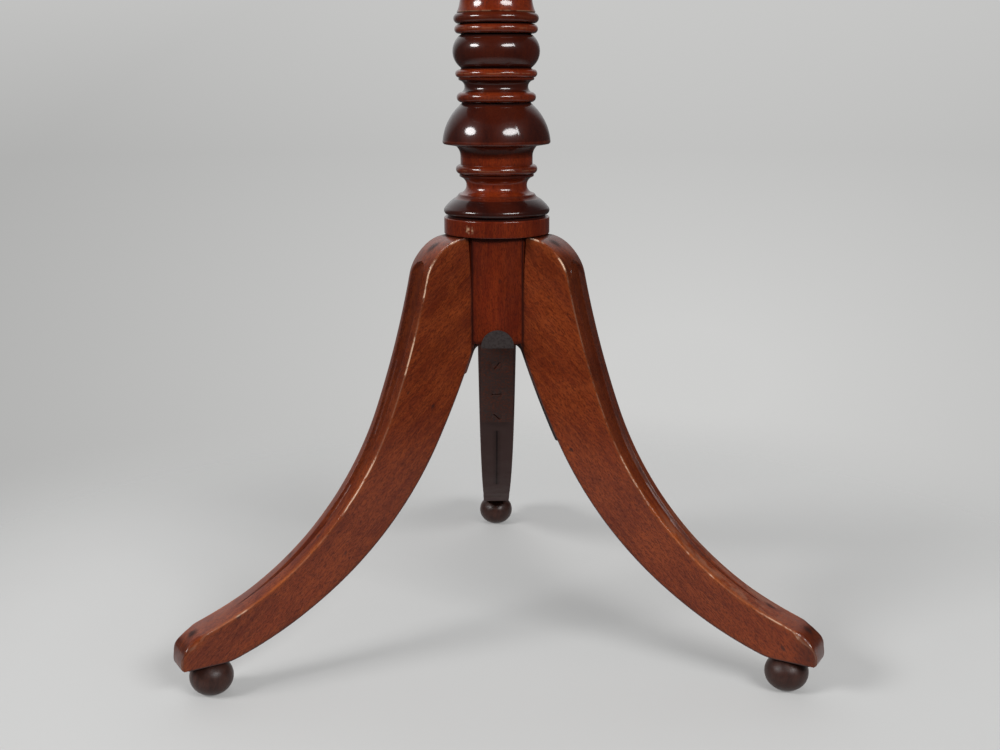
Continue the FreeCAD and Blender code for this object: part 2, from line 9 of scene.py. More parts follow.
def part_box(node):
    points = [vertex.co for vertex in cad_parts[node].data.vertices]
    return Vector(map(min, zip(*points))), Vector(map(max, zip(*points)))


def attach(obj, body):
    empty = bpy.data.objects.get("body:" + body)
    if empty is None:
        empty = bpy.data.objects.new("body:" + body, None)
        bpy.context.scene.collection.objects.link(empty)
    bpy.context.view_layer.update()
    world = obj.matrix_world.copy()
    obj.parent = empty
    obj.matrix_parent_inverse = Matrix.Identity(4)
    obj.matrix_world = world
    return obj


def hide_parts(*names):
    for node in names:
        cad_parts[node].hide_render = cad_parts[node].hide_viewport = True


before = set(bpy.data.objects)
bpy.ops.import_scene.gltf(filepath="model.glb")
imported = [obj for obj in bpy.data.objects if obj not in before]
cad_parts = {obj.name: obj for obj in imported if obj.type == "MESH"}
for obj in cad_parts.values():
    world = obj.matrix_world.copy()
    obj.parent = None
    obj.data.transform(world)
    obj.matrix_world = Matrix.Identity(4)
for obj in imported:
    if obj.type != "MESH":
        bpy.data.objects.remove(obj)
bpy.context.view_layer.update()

# The tilt-top table's looks. Outlines are written in millimetres and turned into metres by MM.
MM = 0.001
LEG_ANGLES = {"front_left": 210.0, "front_right": 330.0, "back": 90.0}
STEM_RADIUS, STEM_BOTTOM = 37.5, 257.0         # the pillar's plain part, which the legs meet
COLLAR_RADIUS, COLLAR_BOTTOM = 43.15, 343.8
TENON_RADIUS = 17.0


# ---------------------------------------------------------------- camera, stage and light

CAMERA_PLACE = (-0.00804, -1.06767, 0.47492)
CAMERA_YAW, CAMERA_PITCH, CAMERA_ROLL = 0.552, 13.265, -0.175
LIGHTS_AIM = (0, 0, 0.35)


def look_matrix(place, yaw, pitch, roll):
    """A camera at place: yaw turns from +Y towards +X, pitch looks down, roll leans to the left."""
    turn = Matrix.Rotation(-math.radians(yaw), 4, "Z")
    tilt = Matrix.Rotation(math.radians(90 - pitch), 4, "X")
    return Matrix.Translation(place) @ turn @ tilt @ Matrix.Rotation(math.radians(roll), 4, "Z")


def make_camera():
    data = bpy.data.cameras.new("camera")
    data.lens = 46.8
    data.sensor_width = 36.0
    data.clip_end = 60.0
    camera = bpy.data.objects.new("camera", data)
    camera.matrix_world = look_matrix(Vector(CAMERA_PLACE), CAMERA_YAW, CAMERA_PITCH, CAMERA_ROLL)
    bpy.context.collection.objects.link(camera)
    bpy.context.scene.camera = camera


def softbox(name, azimuth, elevation, distance, size, power, shape="ELLIPSE"):
    """A soft light round the table: azimuth 0 is the camera's side, positive to the right."""
    a, e = math.radians(azimuth), math.radians(elevation)
    ray = Vector((math.sin(a) * math.cos(e), -math.cos(a) * math.cos(e), math.sin(e)))
    data = bpy.data.lights.new(name, "AREA")
    data.shape = shape
    data.size, data.size_y = size
    data.energy = power
    light = bpy.data.objects.new(name, data)
    light.location = Vector(LIGHTS_AIM) + ray * distance
    light.rotation_mode = "QUATERNION"
    light.rotation_quaternion = (Vector(LIGHTS_AIM) - light.location).to_track_quat("-Z", "Y")
    bpy.context.collection.objects.link(light)


def make_world():
    """Pale paper for the camera, brightest right of the middle. Light and reflections get a
    bright wall and ceiling behind the table, brighter to the left, and a dark room in front."""
    world = bpy.data.worlds.new("studio")
    bpy.context.scene.world = world
    world.use_nodes = True
    tree = world.node_tree
    ray = tree.nodes.new("ShaderNodeTexCoord").outputs["Generated"]

    def ramp(value, low, high, to):
        made = tree.nodes.new("ShaderNodeMapRange")
        tree.links.new(value, made.inputs["Value"])
        for name, number in zip(("From Min", "From Max", "To Min", "To Max"), (low, high, *to)):
            made.inputs[name].default_value = number
        return made.outputs["Result"]

    def along_slope(slope):
        dot = tree.nodes.new("ShaderNodeVectorMath")
        dot.operation = "DOT_PRODUCT"
        tree.links.new(ray, dot.inputs[0])
        dot.inputs[1].default_value = slope
        return dot.outputs["Value"]

    # the paper: a bright patch, and a little more light above the horizon
    patch = tree.nodes.new("ShaderNodeMapping")
    tree.links.new(ray, patch.inputs["Vector"])
    patch.inputs["Scale"].default_value = (2.0, 0.0, 3.3)
    patch.inputs["Location"].default_value = (-0.30, 0.0, 0.75)
    far = tree.nodes.new("ShaderNodeVectorMath")
    far.operation = "LENGTH"
    tree.links.new(patch.outputs["Vector"], far.inputs[0])
    both = tree.nodes.new("ShaderNodeMath")
    tree.links.new(ramp(far.outputs["Value"], 0.12, 1.10, (0.620, 0.440)), both.inputs[0])
    tree.links.new(ramp(along_slope((0.0, 0.0, 1.0)), -0.06, 0.05, (0.0, 0.10)), both.inputs[1])
    paper, room = tree.nodes["Background"], tree.nodes.new("ShaderNodeBackground")
    tree.links.new(both.outputs[0], paper.inputs["Strength"])
    paper.inputs["Color"].default_value = (1.0, 1.0, 0.988, 1.0)
    # the room, which lights the table and shows in its polish
    room_light = ramp(along_slope((-0.2, 1.0, 0.8)), 0.78, 1.25, (0.06, 0.95))
    tree.links.new(room_light, room.inputs["Strength"])
    room.inputs["Color"].default_value = (0.97, 0.985, 1.0, 1.0)
    path = tree.nodes.new("ShaderNodeLightPath")
    blend = tree.nodes.new("ShaderNodeMixShader")
    tree.links.new(path.outputs["Is Camera Ray"], blend.inputs["Fac"])
    tree.links.new(room.outputs[0], blend.inputs[1])
    tree.links.new(paper.outputs[0], blend.inputs[2])
    tree.links.new(blend.outputs[0], tree.nodes["World Output"].inputs["Surface"])


def make_lights():
    softbox("key_left", -64, 28.5, 3.0, (1.30, 0.72), 66)
    softbox("key_right", 32.0, 31, 3.0, (1.62, 0.70), 66)
    softbox("key_right_edge", 50.6, 31, 3.0, (0.10, 0.90), 7)
    softbox("top", -20, 84, 2.6, (3.2, 2.6), 26, "RECTANGLE")


make_camera()
make_world()
make_lights()


# ---------------------------------------------------------------- shader graphs

class Graph:
    """A material and short calls that add nodes to it."""

    def __init__(self, name):
        self.material = bpy.data.materials.new(name)
        self.material.use_nodes = True
        self.tree = self.material.node_tree
        self.shader = self.tree.nodes["Principled BSDF"]

    def node(self, kind, **inputs):
        made = self.tree.nodes.new("ShaderNode" + kind)
        for name, value in inputs.items():
            self.feed(made.inputs[name.replace("_", " ")], value)
        return made

    def feed(self, socket, value):
        if isinstance(value, bpy.types.NodeSocket):
            self.tree.links.new(value, socket)
        else:
            socket.default_value = value

    def attribute(self, name, output="Fac"):
        """A value that the piece's points carry."""
        made = self.tree.nodes.new("ShaderNodeAttribute")
        made.attribute_name = name
        return made.outputs[output]

    def place(self):
        return self.tree.nodes.new("ShaderNodeTexCoord").outputs["Object"]

    def stretched(self, vector, scale, shift=(0, 0, 0)):
        made = self.node("Mapping", Vector=vector, Scale=scale, Location=shift)
        return made.outputs["Vector"]

    def noise(self, vector, scale=1.0, detail=2.0, roughness=0.5, distortion=0.0):
        made = self.node("TexNoise", Vector=vector, Scale=scale, Detail=detail,
                         Roughness=roughness, Distortion=distortion)
        return made.outputs["Fac"]

    def ramp(self, value, low, high, to=(0.0, 1.0)):
        made = self.tree.nodes.new("ShaderNodeMapRange")
        made.interpolation_type = "SMOOTHSTEP"
        self.feed(made.inputs["Value"], value)
        for name, number in zip(("From Min", "From Max", "To Min", "To Max"), (low, high, *to)):
            made.inputs[name].default_value = number
        return made.outputs["Result"]

    def math(self, operation, a, b):
        made = self.tree.nodes.new("ShaderNodeMath")
        made.operation = operation
        made.use_clamp = True
        self.feed(made.inputs[0], a)
        self.feed(made.inputs[1], b)
        return made.outputs[0]

    def mix(self, factor, a, b):
        made = self.tree.nodes.new("ShaderNodeMix")
        made.data_type = "RGBA"
        self.feed(made.inputs["Factor"], factor)
        self.feed(made.inputs[6], a)
        self.feed(made.inputs[7], b)
        return made.outputs[2]

    def bump(self, height, strength, distance, under=None):
        made = self.node("Bump", Height=height, Strength=strength, Distance=distance)
        if under is not None:
            self.feed(made.inputs["Normal"], under)
        return made.outputs["Normal"]

    def surface(self, **inputs):
        for name, value in inputs.items():
            self.feed(self.shader.inputs[name.replace("_", " ")], value)
        return self.material


def rgb(r, g, b):
    return (r, g, b, 1.0)


def times(colour, *factors):
    """A colour times one factor, or times one for each channel."""
    factors = factors * 3 if len(factors) == 1 else factors
    return rgb(*(c * f for c, f in zip(colour, factors)))


STAIN_AND_SHADE_DARK, STAIN_AND_SHADE_LIGHT = rgb(0.010, 0.0026, 0.0023), rgb(0.028, 0.0048, 0.0026)
RUBBED = rgb(0.30, 0.070, 0.014)
UNPOLISHED = rgb(0.064, 0.036, 0.033)
KNOT = rgb(0.02, 0.008, 0.006)
POLISH_GRIME_AND_SHADE, WAX_GRIME = rgb(0.010, 0.005, 0.005), rgb(0.012, 0.008, 0.007)
RUST = rgb(0.140, 0.0340, 0.0160)


def polished_wood(name, dark, mid, light, worn_and_highlight, roughness, coat, coat_roughness, specular=0.3,
                  pores=0.55, figure=1.0, ripple=0.12):
    """Figured wood under a polish. Points carry grain (metres, x along the grain) and marks: wear is
    bared wood, and on the legs also painted highlights on the arrises and painted sheen on the
    lower reeds; rub is thinned polish; stain is dark polish, and painted shade on the pillar's
    neck under the bell; raw is unpolished wood; grime is dirt in corners and joints, painted
    shade under the collar and round the pillar's foot, and painted dark reflections on the legs'
    knees and toes; and matt is polish that has lost its gloss."""
    g = Graph(name)
    grain = g.attribute("grain", "Vector")
    broad = g.noise(g.stretched(grain, (7, 24, 24)), 1.0, 3.0, 0.55, 0.8)
    streaks = g.noise(g.stretched(grain, (28, 260, 260)), 1.0, 4.0, 0.62, 0.5)
    mottle = g.noise(g.stretched(grain, (230, 900, 900), (3, 1, 2)), 1.0, 4.0, 0.80, 0.4)
    pore = g.noise(g.stretched(grain, (420, 2600, 2600)), 1.0, 2.0, 0.5)
    blotch = g.noise(grain, 26.0, 4.0, 0.6, 0.5)
    scuffs = g.noise(g.stretched(grain, (50, 130, 130), (7, 3, 5)), 1.0, 3.0, 0.7)
    smears = g.noise(grain, 60.0, 4.0, 0.6)

    # the wood's own figure
    colour = g.mix(g.ramp(broad, 0.30, 0.70), dark, mid)
    colour = g.mix(g.ramp(streaks, 0.38, 0.68, (0.0, 0.50 * figure)), colour, light)
    colour = g.mix(g.ramp(blotch, 0.40, 0.72, (0.0, 0.45 * figure)), colour, light)
    colour = g.mix(g.ramp(mottle, 0.44, 0.64, (0.0, 0.8 * figure)), colour, times(dark, 0.62))
    rub = g.math("MULTIPLY", g.attribute("rub"), g.ramp(blotch, 0.30, 0.62, (0.35, 1.0)))
    colour = g.mix(rub, colour, RUBBED)
    fleck = g.ramp(pore, 0.54, 0.66, (0.0, pores))
    colour = g.mix(fleck, colour, times(dark, 0.25, 0.25, 0.35))
    spots = g.node("TexVoronoi", Vector=g.stretched(grain, (50, 80, 80)), Scale=1.0)
    near_spot = g.ramp(spots.outputs["Distance"], 0.16, 0.07)
    knot = g.math("MULTIPLY", near_spot, g.ramp(spots.outputs["Color"], 0.60, 0.66))
    colour = g.mix(g.math("MULTIPLY", knot, 0.7 * figure), colour, KNOT)

    # what was done to it: stain, bare places, wear and dirt, which also carry painted shade, painted
    # highlights and painted dark reflections
    # stain, which on the pillar's neck is painted shade under the bell
    stain = g.mix(g.ramp(broad, 0.35, 0.65), STAIN_AND_SHADE_DARK, STAIN_AND_SHADE_LIGHT)
    colour = g.mix(g.attribute("stain"), colour, stain)
    colour = g.mix(g.attribute("raw"), colour, UNPOLISHED)
    # bared wood, which on the legs' arrises and lower reeds is also a painted highlight and painted sheen
    bared_and_glint = g.math("MULTIPLY", g.attribute("wear"), g.ramp(scuffs, 0.42, 0.54, (0.05, 1.0)))
    colour = g.mix(bared_and_glint, colour, worn_and_highlight)
    # dirt, with painted shade under the collar and round the pillar's foot, and painted dark reflections on
    # the knees and toes
    dirt_and_shade = g.math("MULTIPLY", g.attribute("grime"), g.ramp(blotch, 0.25, 0.75, (0.75, 1.0)))
    colour = g.mix(dirt_and_shade, colour, POLISH_GRIME_AND_SHADE)

    # its shine: roughness below, a coat of polish above, and a bump for waves and pores
    rough = g.ramp(smears, 0.3, 0.7, (roughness * 0.8, roughness * 1.25))
    rough = g.math("ADD", rough, g.math("MULTIPLY", g.attribute("raw"), 0.25))
    dull = g.math("MAXIMUM", g.attribute("raw"), g.math("MULTIPLY", g.attribute("grime"), 0.9))
    dull = g.math("MAXIMUM", g.math("MAXIMUM", dull, g.attribute("matt")), g.math("MULTIPLY", rub, 0.6))
    gloss = g.math("SUBTRACT", coat, g.math("MULTIPLY", dull, coat))
    wavy = g.bump(g.noise(grain, 48.0, 2.0, 0.5), ripple, 0.0012)
    fine = g.bump(g.math("SUBTRACT", 1.0, fleck), 0.18, 0.00012, wavy)
    return g.surface(Base_Color=colour, Roughness=rough, Normal=fine, Coat_Weight=gloss, IOR=1.45,
                     Coat_Roughness=coat_roughness, Coat_IOR=1.5, Specular_IOR_Level=specular)


def dull_wood(name, dark, light, roughness=0.6, specular=0.4):
    """Bare or waxed wood with open grain."""
    g = Graph(name)
    grain = g.attribute("grain", "Vector")
    streaks = g.noise(g.stretched(grain, (9, 210, 210)), 1.0, 5.0, 0.62, 0.4)
    broad = g.noise(g.stretched(grain, (4, 26, 26)), 1.0, 2.0, 0.5, 0.5)
    pore = g.noise(g.stretched(grain, (260, 2100, 2100)), 1.0, 2.0, 0.5)
    colour = g.mix(g.ramp(streaks, 0.34, 0.66), dark, light)
    colour = g.mix(g.ramp(broad, 0.45, 0.75, (0.0, 0.6)), colour, dark)
    fleck = g.ramp(pore, 0.55, 0.66, (0.0, 0.7))
    colour = g.mix(fleck, colour, times(dark, 0.3))
    bared_and_glint = g.math("MULTIPLY", g.attribute("wear"), g.ramp(streaks, 0.3, 0.6, (0.2, 0.7)))
    colour = g.mix(bared_and_glint, colour, times(light, 1.7, 1.6, 1.5))
    colour = g.mix(g.attribute("grime"), colour, WAX_GRIME)
    rough = g.ramp(broad, 0.3, 0.7, (roughness * 0.85, roughness * 1.1))
    height = g.math("SUBTRACT", 1.0, fleck)
    return g.surface(Base_Color=colour, Roughness=rough, Normal=g.bump(height, 0.35, 0.00025),
                     Specular_IOR_Level=specular)


def metal(name, dark, light, roughness, metallic=1.0, speckle=900.0, bump=0.2, specular=0.5):
    """Handled metal: cloudy tarnish, fine speckle, rubbed edges, and rust where points carry it."""
    g = Graph(name)
    place = g.place()
    cloud = g.noise(place, 60.0, 4.0, 0.6, 0.4)
    fine = g.noise(place, speckle, 3.0, 0.6)
    colour = g.mix(g.ramp(cloud, 0.32, 0.70), dark, light)
    colour = g.mix(g.ramp(fine, 0.52, 0.70, (0.0, 0.5)), colour, dark)
    rusty = g.math("MULTIPLY", g.attribute("rust"), g.ramp(cloud, 0.2, 0.6, (0.5, 1.0)))
    colour = g.mix(rusty, colour, RUST)
    edge = g.math("MULTIPLY", g.attribute("wear"), g.ramp(fine, 0.3, 0.6, (0.3, 0.8)))
    colour = g.mix(edge, colour, rgb(*(min(1.0, c * 1.5 + 0.02) for c in light[:3])))
    rough = g.ramp(cloud, 0.3, 0.7, (roughness * 0.75, roughness * 1.25))
    dents = g.bump(g.noise(place, 130.0, 3.0, 0.55), bump, 0.0008)
    pits = g.bump(fine, bump, 0.00015, dents)
    return g.surface(Base_Color=colour, Roughness=rough, Normal=pits, Metallic=metallic,
                     Specular_IOR_Level=specular)


def floor_material():
    """Pale studio paper that fades into the backdrop far from the table."""
    g = Graph("floor_paper")
    place = g.place()
    mottle = g.noise(place, 3.0, 3.0, 0.5)
    tooth = g.noise(place, 900.0, 2.0, 0.5)
    colour = g.mix(g.ramp(mottle, 0.3, 0.7), rgb(0.363, 0.363, 0.359), rgb(0.372, 0.372, 0.368))
    g.surface(Base_Color=colour, Roughness=0.75, Normal=g.bump(tooth, 0.05, 0.0003),
              Specular_IOR_Level=0.1, Emission_Color=rgb(1.0, 1.0, 0.99), Emission_Strength=0.165)
    far = g.node("VectorMath", Vector=place)
    far.operation = "LENGTH"
    fade = g.ramp(far.outputs["Value"], 0.36, 0.80)
    clear = g.node("BsdfTransparent")
    blend = g.node("MixShader", Fac=fade)
    g.tree.links.new(g.shader.outputs[0], blend.inputs[1])
    g.tree.links.new(clear.outputs[0], blend.inputs[2])
    g.tree.links.new(blend.outputs[0], g.tree.nodes["Material Output"].inputs["Surface"])
    return g.material


MAHOGANY_TURNED = polished_wood(
    "mahogany_turned", rgb(0.100, 0.0098, 0.0025), rgb(0.168, 0.0180, 0.0038), rgb(0.250, 0.037, 0.0065),
    rgb(0.52, 0.33, 0.20), roughness=0.34, coat=0.72, coat_roughness=0.1, specular=0.08, figure=0.8)
MAHOGANY_LEGS = polished_wood(
    "mahogany_legs", rgb(0.106, 0.0148, 0.0036), rgb(0.180, 0.0288, 0.0062), rgb(0.255, 0.0505, 0.0105),
    rgb(0.64, 0.42, 0.29), roughness=0.38, coat=0.45, coat_roughness=0.13, specular=0.10, pores=0.65)
MAHOGANY_TOP = polished_wood(
    "mahogany_top", rgb(0.130, 0.023, 0.008), rgb(0.200, 0.042, 0.014), rgb(0.290, 0.075, 0.024),
    rgb(0.55, 0.26, 0.14), roughness=0.34, coat=0.4, coat_roughness=0.2, pores=0.5, ripple=0.03)
MAHOGANY_PLAIN = dull_wood("mahogany_plain", rgb(0.095, 0.028, 0.013), rgb(0.170, 0.058, 0.026))
DARK_FEET = dull_wood("dark_feet", rgb(0.026, 0.0095, 0.0070), rgb(0.045, 0.0170, 0.0120), 0.37, 0.27)
OAK = dull_wood("oak", rgb(0.17, 0.10, 0.05), rgb(0.30, 0.19, 0.10), 0.7)
IRON = metal("iron", rgb(0.008, 0.0052, 0.0052), rgb(0.015, 0.0098, 0.0092), 0.62, 0.0, 500.0, 0.4, 0.08)
STEEL = metal("steel", rgb(0.10, 0.085, 0.07), rgb(0.26, 0.24, 0.22), 0.42)
BRASS = metal("brass", rgb(0.30, 0.19, 0.07), rgb(0.58, 0.42, 0.17), 0.33)


# ---------------------------------------------------------------- meshes

ARC_STEP = 0.6                  # about the length of the chords on a turning's arcs
SMOOTH_ANGLE = math.radians(38)


def new_piece(name, verts, faces, material):
    mesh = bpy.data.meshes.new(name)
    mesh.from_pydata(verts, [], faces)
    mesh.validate()
    mesh.shade_smooth()
    mesh.set_sharp_from_angle(angle=SMOOTH_ANGLE)
    mesh.materials.append(material)
    piece = bpy.data.objects.new(name, mesh)
    bpy.context.collection.objects.link(piece)
    return piece


def put_floats(piece, **columns):
    """Adds one number for each point of a piece, under each name, for the materials to read."""
    for name, values in columns.items():
        layer = piece.data.attributes.new(name, "FLOAT", "POINT")
        layer.data.foreach_set("value", np.asarray(values, dtype=np.float32).ravel())


def put_grain(piece, along, shift=(0, 0, 0)):
    """Wood coordinates: x runs along the grain, which has the direction along."""
    count = len(piece.data.vertices)
    points = np.empty(count * 3, dtype=np.float32)
    piece.data.vertices.foreach_get("co", points)
    along = Vector(along).normalized()
    across = along.orthogonal().normalized()
    basis = np.array([along, across, along.cross(across)])
    wood = points.reshape(-1, 3) @ basis.T + np.array(shift)
    layer = piece.data.attributes.new("grain", "FLOAT_VECTOR", "POINT")
    layer.data.foreach_set("vector", wood.astype(np.float32).ravel())


def settle(piece, body, slot, *nodes):
    """Says which body a piece moves with and the CAD nodes it stands for. The slot argument, its material
    slot, is not used.
    """
    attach(piece, body)
    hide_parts(*nodes)


class Section:
    """Half a turning's outline in millimetres, from straight runs and arcs."""

    def __init__(self, r, z):
        self.points = [(r, z)]
        self.stains = [0.0]
        self.stain = 0.0

    def add(self, r, z):
        self.points.append((r, z))
        self.stains.append(self.stain)

    def line(self, r, z, step=4.0):
        r0, z0 = self.points[-1]
        count = max(1, round(math.hypot(r - r0, z - z0) / step))
        for k in range(1, count + 1):
            self.add(r0 + (r - r0) * k / count, z0 + (z - z0) * k / count)

    def arc(self, via, to):
        a, b, c = (np.array(p, dtype=float) for p in (self.points[-1], via, to))
        matrix = 2 * np.array([b - a, c - a])
        centre = np.linalg.solve(matrix, np.array([b @ b - a @ a, c @ c - a @ a]))
        start, middle, end = (math.atan2(*(p - centre)[::-1]) for p in (a, b, c))
        turn = (end - start) % (2 * math.pi)
        if (middle - start) % (2 * math.pi) > turn:
            turn -= 2 * math.pi
        radius = float(np.linalg.norm(a - centre))
        count = max(4, round(abs(turn) * radius / ARC_STEP))
        for k in range(1, count + 1):
            angle = start + turn * k / count
            self.add(centre[0] + radius * math.cos(angle), centre[1] + radius * math.sin(angle))

    def bead(self, low, radius, high):
        """A half-round moulding from low to high, out to a radius."""
        self.line(*low)
        self.arc((radius, (low[1] + high[1]) / 2), high)


def sunk(points, reach=3.2, full=2.6):
    """How deep each outline point lies between higher shoulders on both sides, from 0 to 1."""
    out = []
    for r, z in points:
        above = max((p[0] for p in points if z <= p[1] <= z + reach), default=r)
        below = max((p[0] for p in points if z - reach <= p[1] <= z), default=r)
        out.append(min(1.0, max(0.0, (min(above, below) - r - 0.25) / full)))
    return out


def crest(points, reach=1.2, full=0.5):
    """How far each outline point stands proud of its neighbours on both sides, from 0 to 1."""
    out = []
    for r, z in points:
        above = min((p[0] for p in points if z <= p[1] <= z + reach), default=r)
        below = min((p[0] for p in points if z - reach <= p[1] <= z), default=r)
        out.append(min(1.0, max(0.0, (r - max(above, below)) / full)))
    return out


def lathe(name, section, material, centre=(0.0, 0.0), segments=192, wear=None, grime=None):
    """Turns a section round an upright axis. Its crests are worn and its hollows are grimy, unless
    wear and grime say otherwise for each point of the section."""
    points = section.points
    verts, faces = [], []
    for r, z in points:
        for k in range(segments):
            a = 2 * math.pi * k / segments
            verts.append((centre[0] + r * MM * math.cos(a), centre[1] + r * MM * math.sin(a), z * MM))
    for i in range(len(points) - 1):
        for k in range(segments):
            m = (k + 1) % segments
            faces.append((i * segments + k, i * segments + m, (i + 1) * segments + m, (i + 1) * segments + k))
    faces.append(tuple(reversed(range(segments))))
    last = (len(points) - 1) * segments
    faces.append(tuple(range(last, last + segments)))
    piece = new_piece(name, verts, faces, material)
    marks = {"stain": section.stains, "wear": wear or crest(points), "grime": grime or sunk(points)}
    put_floats(piece, **{mark: np.repeat(values, segments) for mark, values in marks.items()})
    return piece


def smoothstep(t):
    """An even rise from 0 at t = 0 to 1 at t = 1."""
    t = min(1.0, max(0.0, t))
    return t * t * (3 - 2 * t)


def bell(t, width):
    """1 at t = 0, falling smoothly to both sides, mostly within width."""
    return math.exp(-(t / width) ** 2)


def hump(t, width, power=2):
    """The bell for arrays. A higher power makes it flatter on top."""
    return np.exp(-(t / width) ** power)


def spot(a, b):
    """A round mark with a flat middle. Its edge is where a and b make 1."""
    return np.exp(-(a ** 2 + b ** 2) ** 2)


# ---------------------------------------------------------------- pillar

def pillar_section():
    """The turned pillar from the bottom up; stain marks the members that were polished darker, and the
    painted shade on the neck under the bell.
    """
    s = Section(STEM_RADIUS, STEM_BOTTOM)
    s.stain = 0.25
    s.line(STEM_RADIUS, COLLAR_BOTTOM, 1.0)
    s.line(42.5, COLLAR_BOTTOM, 2.0)
    s.arc((42.95, 344.0), (COLLAR_RADIUS, 344.5))
    s.stain = 0.12
    s.line(COLLAR_RADIUS, 356.3, 0.8)
    s.arc((42.9, 356.95), (42.2, 357.2))
    s.line(39.8, 357.2, 1.0)
    s.line(39.8, 359.7, 1.0)
    s.stain = 0.9
    s.line(42.1, 359.9, 1.0)
    s.arc((43.2, 362.2), (42.2, 364.9))
    s.arc((39.2, 368.3), (34.8, 371.9))
    s.stain = 0.5
    s.arc((32.4, 373.6), (31.2, 375.4))
    s.stain = 0.05
    s.line(30.5, 375.9)
    s.arc((24.7, 382.4), (28.9, 389.2))
    s.stain = 0.8
    s.line(30.3, 389.9)
    s.line(30.3, 391.4)
    s.stain = 0.35
    s.bead((29.2, 391.9), 33.1, (29.3, 399.4))
    s.stain = 0.05
    s.line(29.3, 402.5)
    # painted shade: the neck darkens upwards into the shade under the bell
    s.stain = 0.15
    s.line(29.3, 405.0, 1.0)
    s.stain = 0.5
    s.arc((29.9, 409.6), (33.0, 414.2))
    s.stain = 0.8
    s.line(42.7, 415.8, 2.0)
    s.stain = 0.6
    s.arc((43.5, 416.6), (43.65, 418.6))
    s.stain = 0.85
    s.arc((39.4, 433.4), (28.4, 447.5))
    s.stain = 0.25
    s.line(27.8, 448.3)
    s.bead((28.0, 448.6), 31.9, (28.2, 456.6))
    s.stain = 0.9
    s.arc((25.6, 460.8), (28.5, 465.4))
    s.line(30.2, 466.0)
    s.stain = 0.4
    s.line(30.6, 467.5)
    s.stain = 0.08
    s.bead((30.0, 467.9), 32.9, (29.4, 474.4))
    s.stain = 0.85
    s.line(28.0, 475.3)
    s.line(29.0, 476.2)
    s.arc((34.95, 488.3), (29.4, 500.5))
    s.line(27.9, 501.4)
    s.stain = 0.15
    s.bead((28.6, 502.1), 33.3, (28.6, 508.9))
    s.stain = 0.8
    s.line(28.0, 509.4)
    s.stain = 0.6
    s.bead((28.9, 509.8), 34.0, (30.9, 517.7))
    s.line(31.3, 518.5)
    s.stain = 0.0
    s.arc((29.3, 524.2), (28.5, 531.0))
    s.line(22.6, 652.0)
    s.bead((23.6, 652.6), 27.2, (23.6, 659.4))
    s.line(23.0, 660.0)
    s.arc((25.9, 671.5), (36.0, 677.2))
    s.line(38.0, 677.8)
    block_bottom, tenon_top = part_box("pillar_block")[0][2] / MM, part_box("pillar")[1][2] / MM
    s.line(38.0, block_bottom)
    s.line(TENON_RADIUS, block_bottom)
    s.line(TENON_RADIUS, tenon_top)
    return s


CHIP_TURN, CHIP_HEIGHT = 239.5, 350.3          # the chip in the collar: degrees round, and height
CHIP_HALF_WIDTH, CHIP_HALF_HEIGHT = 3.4, 3.2
COLLAR_MM_PER_DEGREE = 0.74
NECK_HEIGHT, NECK_REACH = 409.5, 5.5           # the neck under the bell has lost its gloss
LEG_JOINT = 17.2                               # the joints' dirt lies this far beside a leg's middle


def corner_dirt_and_shade(x, y, z):
    """Dirt on the pillar along the legs' joints, with painted shade under the collar and a painted shadow
    round the bottom edge.
    """
    # painted shade under the collar's overhang, and a painted shadow where the pillar meets the iron plate
    dirt_and_shade = 0.9 * (hump(z - 344, 3.0) * (z < 343.9) + 0.8 * hump(z - STEM_BOTTOM, 2.5))
    for angle in LEG_ANGLES.values():
        a = math.radians(angle)
        beside, ahead = np.abs(y * math.cos(a) - x * math.sin(a)), x * math.cos(a) + y * math.sin(a)
        joint = hump(beside - LEG_JOINT, 0.9) * (ahead > 0) * (z < 343.7)
        dirt_and_shade = np.maximum(dirt_and_shade, 0.95 * joint)
    return dirt_and_shade


def collar_chip(x, y, z):
    """The bared chip in the collar, with a ragged edge."""
    across = (np.degrees(np.arctan2(y, x)) % 360 - CHIP_TURN) * COLLAR_MM_PER_DEGREE
    chip = spot(across / CHIP_HALF_WIDTH, (z - CHIP_HEIGHT) / CHIP_HALF_HEIGHT) * (np.hypot(x, y) > 43)
    ragged = np.array([noise.noise(Vector(point) * 0.55) for point in zip(x, y, z)])
    return chip * np.clip(0.55 + 2.2 * ragged, 0, 1)


def make_pillar():
    piece = lathe("turned_pillar", pillar_section(), MAHOGANY_TURNED, segments=288)
    count = len(piece.data.vertices)
    points = np.empty(count * 3, dtype=np.float32)
    piece.data.vertices.foreach_get("co", points)
    x, y, z = points.reshape(-1, 3).T / MM
    grime, wear = (piece.data.attributes[mark].data for mark in ("grime", "wear"))
    in_hollows, on_crests = np.empty(count, dtype=np.float32), np.empty(count, dtype=np.float32)
    grime.foreach_get("value", in_hollows)
    wear.foreach_get("value", on_crests)
    grime.foreach_set("value", np.maximum(in_hollows, corner_dirt_and_shade(x, y, z)).astype(np.float32))
    wear.foreach_set("value", np.maximum(0.45 * on_crests, collar_chip(x, y, z)).astype(np.float32))
    put_floats(piece, matt=0.75 * hump(z - NECK_HEIGHT, NECK_REACH, 4))
    put_grain(piece, (0, 0, 1), (0.31, 0.012, 0.006))
    settle(piece, "base", "mahogany_turned", "pillar")


# ---------------------------------------------------------------- legs

